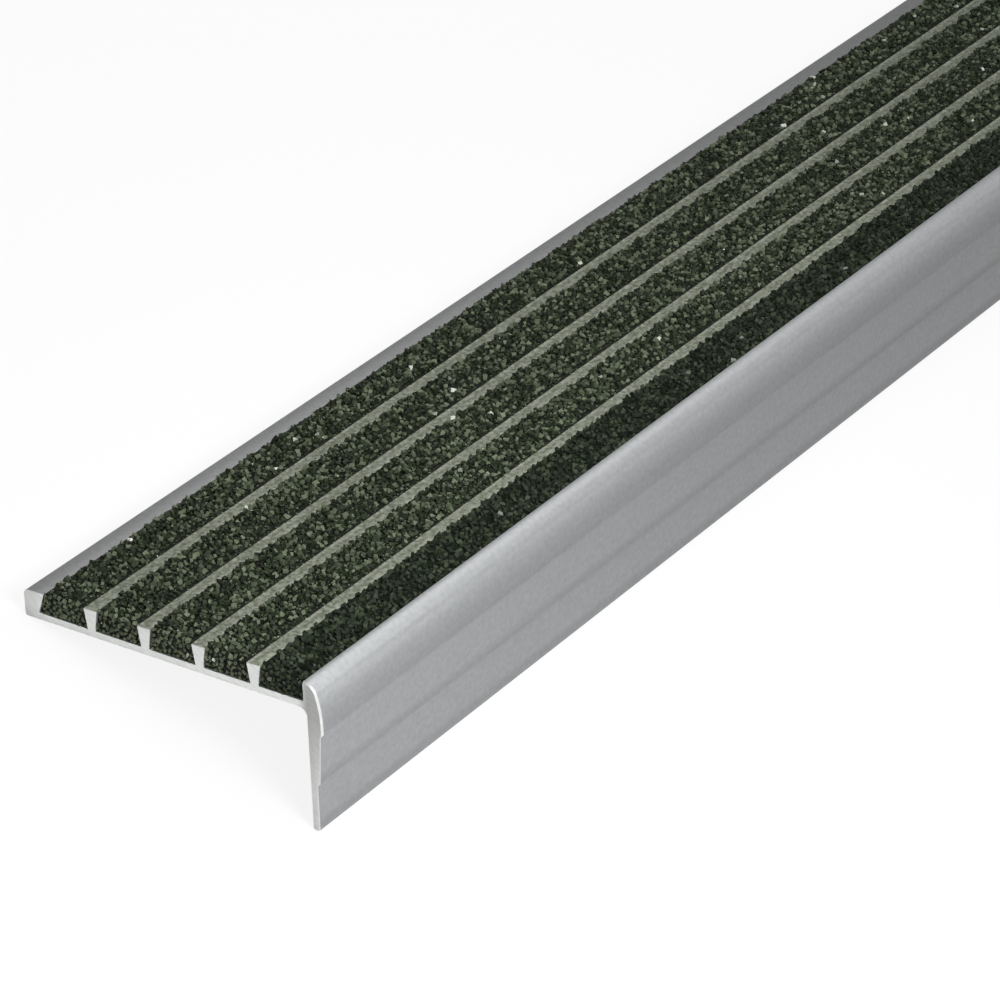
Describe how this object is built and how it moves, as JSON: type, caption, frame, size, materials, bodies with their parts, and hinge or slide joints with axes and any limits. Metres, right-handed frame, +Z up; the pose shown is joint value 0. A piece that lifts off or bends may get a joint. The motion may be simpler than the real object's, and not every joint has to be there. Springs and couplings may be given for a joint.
{
  "type": "stair nosing",
  "caption": "Ribbed aluminium stair nosing with abrasive strips set between dovetail ribs on its tread, a rounded nose and a stepped skirt that laps the riser.",
  "frame": {"origin": "on the floor, under the middle of the stock's box", "axes": "+X along the length, +Z up, -Y towards the nose's front face"},
  "size_m": [0.9144, 0.0812, 0.0322],
  "materials": {
    "aluminium": "mill finish, fine lines along the length",
    "abrasive": "coarse grit bonded in dark resin, with scattered glints"
  },
  "bodies": {
    "root": {"aluminium_extrusion": "aluminium", "abrasive_strip_1": "abrasive", "abrasive_strip_2": "abrasive", "abrasive_strip_3": "abrasive", "abrasive_strip_4": "abrasive", "abrasive_strip_5": "abrasive"}
  },
  "joints": []
}
